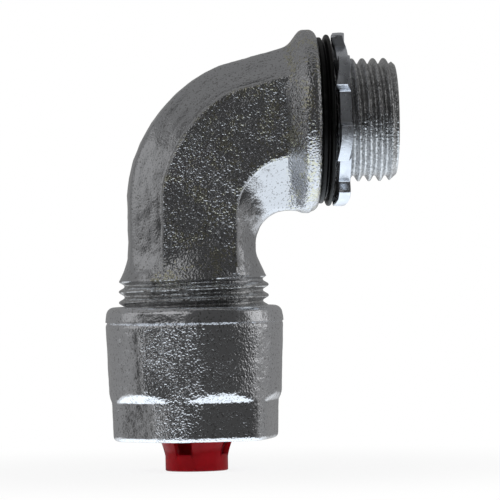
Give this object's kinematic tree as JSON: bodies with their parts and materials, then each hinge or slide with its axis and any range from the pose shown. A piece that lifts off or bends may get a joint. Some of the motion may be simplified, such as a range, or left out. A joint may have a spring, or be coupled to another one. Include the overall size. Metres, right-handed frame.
{
  "type": "strain relief cord connector",
  "caption": "Right-angle strain relief cord connector: faceted cast elbow with threaded hub, sealing ring and locknut, and a gland nut over a red grip collet.",
  "frame": {"origin": "centre of the flange face that seats on the box wall, on the hub axis", "axes": "+X along the hub, out of the fitting and into the box; the cord leaves the gland along -Z"},
  "size_m": [0.0497, 0.0308, 0.0743],
  "materials": {
    "cast_zinc": "zinc plated malleable iron casting, grainy",
    "bright_zinc": "bright zinc plated stamping",
    "black_rubber": "moulded, semi-matt",
    "red_nylon": "moulded, glossy"
  },
  "bodies": {
    "elbow": {"elbow_body": "cast_zinc"},
    "ring_carrier": {"sealing_ring": "black_rubber"},
    "locknut": {"locknut": "bright_zinc"},
    "gland_stack": {"grip_collet": "red_nylon", "slip_washer": "bright_zinc", "seal_bushing": "black_rubber"},
    "gland_nut": {"gland_nut": "cast_zinc"}
  },
  "joints": [
    {"name": "locknut_turn", "type": "hinge", "parent": "elbow", "child": "ring_carrier", "pos_m": [0, 0, 0], "axis": [1, 0, 0], "range_deg": [0, 2160]},
    {"name": "locknut_travel", "type": "slide", "parent": "ring_carrier", "child": "locknut", "axis": [1, 0, 0], "range_m": [0, 0.0109]},
    {"name": "gland_nut_travel", "type": "slide", "parent": "elbow", "child": "gland_stack", "axis": [0, 0, -1], "range_m": [-0.00182, 0.0091]},
    {"name": "gland_nut_turn", "type": "hinge", "parent": "gland_stack", "child": "gland_nut", "pos_m": [-0.0213, 0, -0.042], "axis": [0, 0, -1], "range_deg": [-360, 1800]}
  ],
  "couplings": [
    {"joint": "locknut_travel", "follows": "locknut_turn", "m_per_rad": 0.00028875},
    {"joint": "gland_nut_travel", "follows": "gland_nut_turn", "m_per_rad": 0.00028875}
  ]
}
